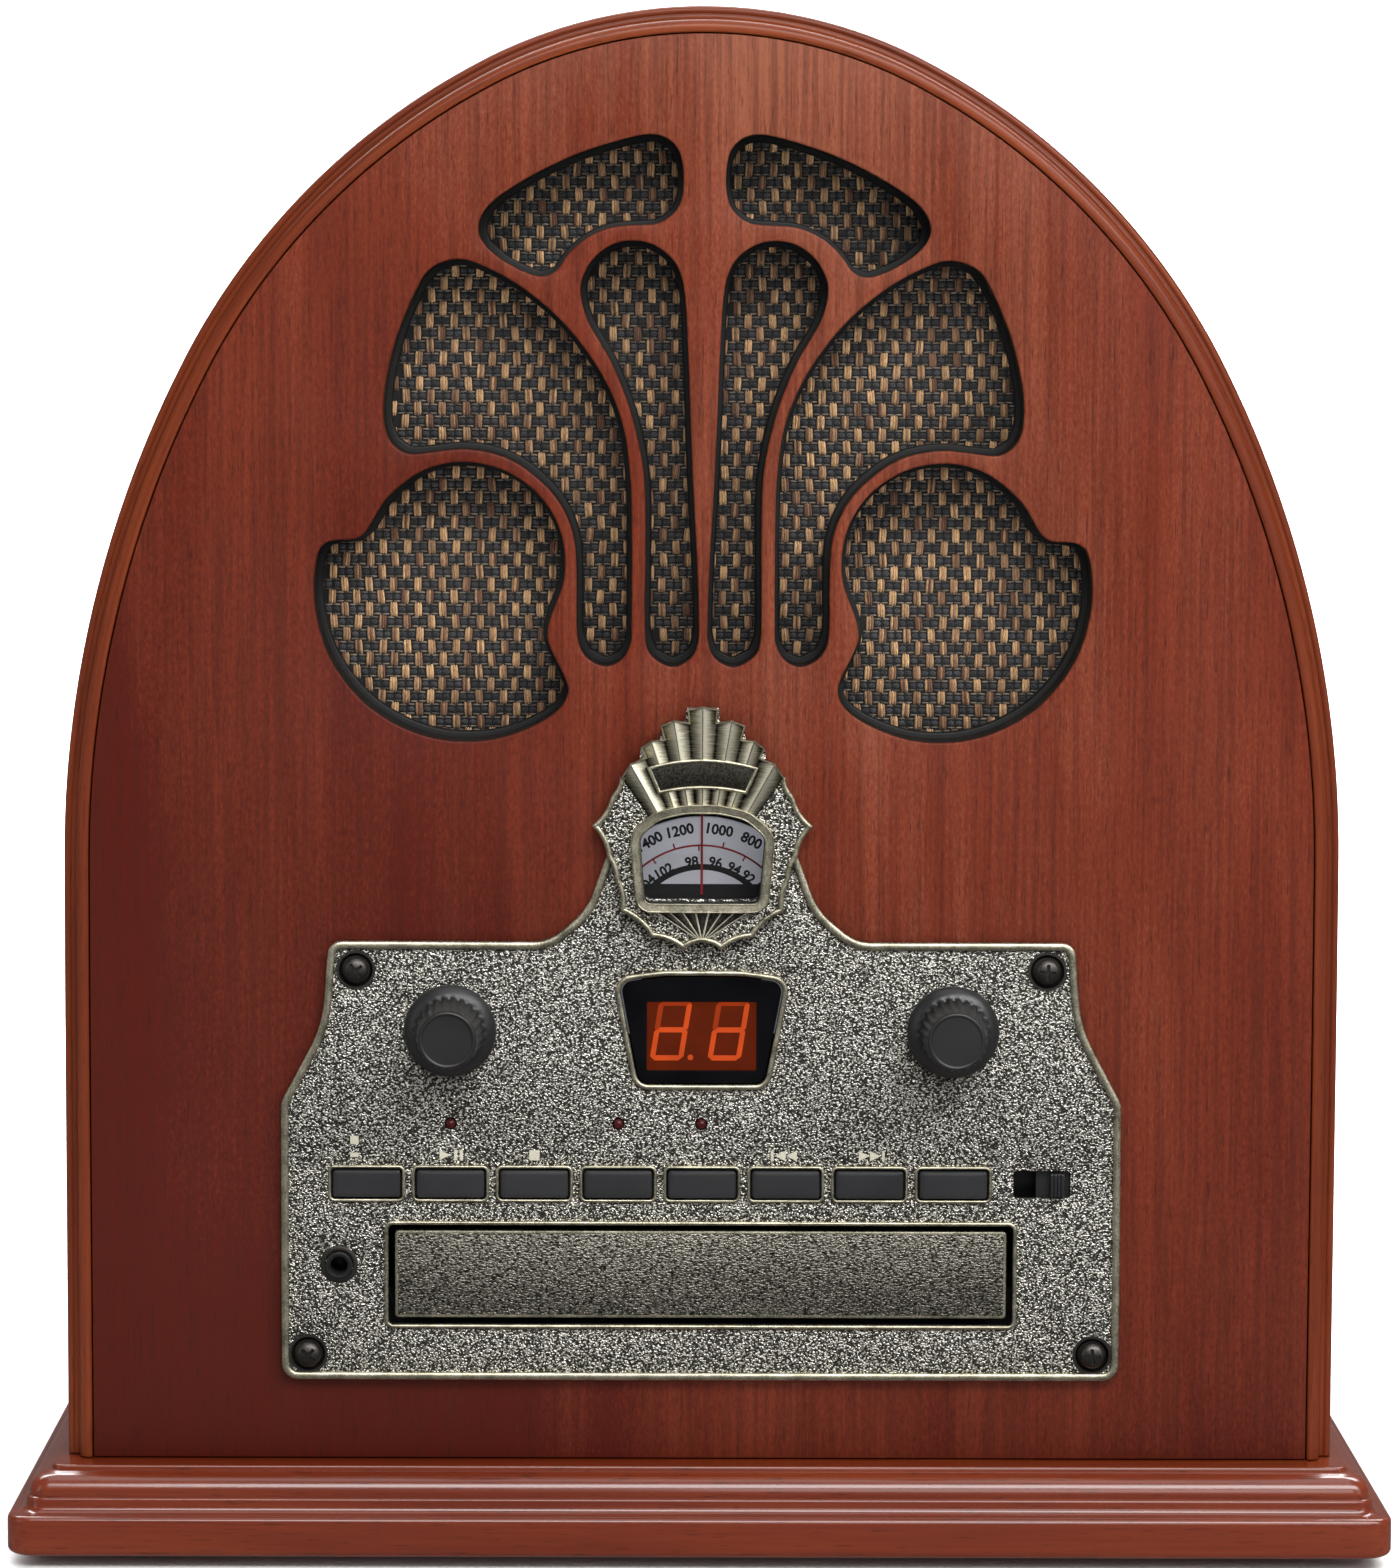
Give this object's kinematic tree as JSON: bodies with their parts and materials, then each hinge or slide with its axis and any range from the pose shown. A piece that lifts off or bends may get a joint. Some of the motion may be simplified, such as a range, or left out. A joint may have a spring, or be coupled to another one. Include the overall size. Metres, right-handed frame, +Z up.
{
  "type": "cathedral radio",
  "caption": "Arched wooden table radio with carved grille, cast control plate, tuning dial, two knobs, push keys and a sliding disc drawer.",
  "frame": {"origin": "middle of the footprint, on the surface the feet stand on", "axes": "+Z up, -Y is the front with the grille and controls, +X to the right seen from the front"},
  "size_m": [0.2934, 0.2058, 0.3287],
  "materials": {
    "panel_wood": "satin cherry-stained veneer with straight grain",
    "trim_wood": "semi-gloss lighter stained moulding",
    "base_wood": "glossy dark cherry lacquer",
    "cast_metal": "antiqued casting, pebbled field with polished raised rims",
    "drawer_metal": "antiqued bronze plating, fine pebbled",
    "black_plastic": "satin black",
    "rubber": "matt black",
    "board_black": "matt black paint on board",
    "grille_cloth": "coarse tan and black basket weave",
    "steel": "zinc-plated",
    "dark_steel": "dark bronzed screw",
    "clear_plastic": "clear moulded window",
    "display_red": "red filter with a black printed border",
    "dial_white": "off-white printed disc",
    "dial_cord": "waxed cord",
    "led_red": "dark red lens",
    "circuit_board": "green solder mask",
    "mechanism": "dark grey moulded plastic",
    "white_plastic": "natural acetal",
    "cone_paper": "black pressed paper",
    "iron": "dark plated iron"
  },
  "bodies": {
    "cabinet": {"base_plinth": "base_wood", "cabinet_shell": "base_wood", "foot_1": "rubber", "foot_2": "rubber", "foot_3": "rubber", "foot_4": "rubber", "front_panel": "panel_wood", "arch_moulding": "trim_wood", "rear_cover": "black_plastic", "headphone_jack": "black_plastic", "mains_inlet": "black_plastic", "rear_screw_1": "dark_steel", "rear_screw_2": "dark_steel", "rear_screw_3": "dark_steel", "rear_screw_4": "dark_steel", "faceplate_screw_1": "dark_steel", "faceplate_screw_2": "dark_steel", "faceplate_screw_3": "dark_steel", "faceplate_screw_4": "dark_steel", "grille_board": "board_black", "display_module": "board_black", "grille_cloth": "grille_cloth", "speaker_frame_left": "iron", "speaker_frame_right": "iron", "transformer": "iron", "speaker_cone_left": "cone_paper", "speaker_cone_right": "cone_paper", "faceplate": "cast_metal", "dial_badge": "cast_metal", "dial_lens": "clear_plastic", "display_window": "display_red", "dial_cord": "dial_cord", "tuning_capacitor": "steel", "volume_pot": "steel", "indicator_led_1": "led_red", "indicator_led_2": "led_red", "indicator_led_3": "led_red", "control_board": "circuit_board", "main_board": "circuit_board", "cd_chassis": "mechanism"},
    "volume": {"volume_knob": "black_plastic"},
    "tuning": {"tuning_knob": "black_plastic", "tuning_spindle": "steel"},
    "dial": {"dial_disc": "dial_white"},
    "key_1": {"button_1": "black_plastic"},
    "key_2": {"button_2": "black_plastic"},
    "key_3": {"button_3": "black_plastic"},
    "key_4": {"button_4": "black_plastic"},
    "key_5": {"button_5": "black_plastic"},
    "key_6": {"button_6": "black_plastic"},
    "key_7": {"button_7": "black_plastic"},
    "key_8": {"button_8": "black_plastic"},
    "function": {"function_slider": "black_plastic"},
    "drawer": {"cd_tray": "mechanism", "tray_front": "drawer_metal"},
    "drive_gear": {"tray_gear": "white_plastic"},
    "traverse": {"cd_traverse": "steel"},
    "platter": {"turntable": "mechanism"},
    "pickup": {"laser_pickup": "mechanism"},
    "clamp": {"disc_clamp": "white_plastic"}
  },
  "joints": [
    {"name": "volume_turn", "type": "hinge", "parent": "cabinet", "child": "volume", "pos_m": [-0.05325, -0.0874, 0.1132], "axis": [0, 1, 0], "range_deg": [0, 300]},
    {"name": "tuning_turn", "type": "hinge", "parent": "cabinet", "child": "tuning", "pos_m": [0.05325, -0.0874, 0.1132], "axis": [0, 1, 0], "range_deg": [-450, 450]},
    {"name": "dial_turn", "type": "hinge", "parent": "cabinet", "child": "dial", "pos_m": [0, -0.0728, 0.1314], "axis": [0, 1, 0], "range_deg": [-90, 90]},
    {"name": "key_1_press", "type": "slide", "parent": "cabinet", "child": "key_1", "axis": [0, 1, 0], "range_m": [0, 0.0015], "stiffness_N_per_m": 200},
    {"name": "key_2_press", "type": "slide", "parent": "cabinet", "child": "key_2", "axis": [0, 1, 0], "range_m": [0, 0.0015], "stiffness_N_per_m": 200},
    {"name": "key_3_press", "type": "slide", "parent": "cabinet", "child": "key_3", "axis": [0, 1, 0], "range_m": [0, 0.0015], "stiffness_N_per_m": 200},
    {"name": "key_4_press", "type": "slide", "parent": "cabinet", "child": "key_4", "axis": [0, 1, 0], "range_m": [0, 0.0015], "stiffness_N_per_m": 200},
    {"name": "key_5_press", "type": "slide", "parent": "cabinet", "child": "key_5", "axis": [0, 1, 0], "range_m": [0, 0.0015], "stiffness_N_per_m": 200},
    {"name": "key_6_press", "type": "slide", "parent": "cabinet", "child": "key_6", "axis": [0, 1, 0], "range_m": [0, 0.0015], "stiffness_N_per_m": 200},
    {"name": "key_7_press", "type": "slide", "parent": "cabinet", "child": "key_7", "axis": [0, 1, 0], "range_m": [0, 0.0015], "stiffness_N_per_m": 200},
    {"name": "key_8_press", "type": "slide", "parent": "cabinet", "child": "key_8", "axis": [0, 1, 0], "range_m": [0, 0.0015], "stiffness_N_per_m": 200},
    {"name": "function_slide", "type": "slide", "parent": "cabinet", "child": "function", "axis": [-1, 0, 0], "range_m": [0, 0.006]},
    {"name": "drawer_slide", "type": "slide", "parent": "cabinet", "child": "drawer", "axis": [0, -1, 0], "range_m": [0, 0.118]},
    {"name": "gear_turn", "type": "hinge", "parent": "cabinet", "child": "drive_gear", "pos_m": [-0.043, -0.06, 0.051], "axis": [0, 0, 1], "range_deg": [0, 760]},
    {"name": "traverse_tilt", "type": "hinge", "parent": "cabinet", "child": "traverse", "pos_m": [0, 0.048, 0.0452], "axis": [1, 0, 0], "range_deg": [0, 5.2]},
    {"name": "platter_spin", "type": "hinge", "parent": "traverse", "child": "platter", "pos_m": [0, -0.02, 0.057], "axis": [0, 0, 1], "continuous": true},
    {"name": "pickup_slide", "type": "slide", "parent": "traverse", "child": "pickup", "axis": [0, 1, 0], "range_m": [0, 0.033]},
    {"name": "clamp_spin", "type": "hinge", "parent": "cabinet", "child": "clamp", "pos_m": [0, -0.02, 0.066], "axis": [0, 0, 1], "continuous": true}
  ],
  "couplings": [
    {"joint": "dial_turn", "follows": "tuning_turn", "ratio": 0.2},
    {"joint": "gear_turn", "follows": "drawer_slide", "rad_per_m": 111.11},
    {"joint": "clamp_spin", "follows": "platter_spin", "ratio": 1}
  ]
}
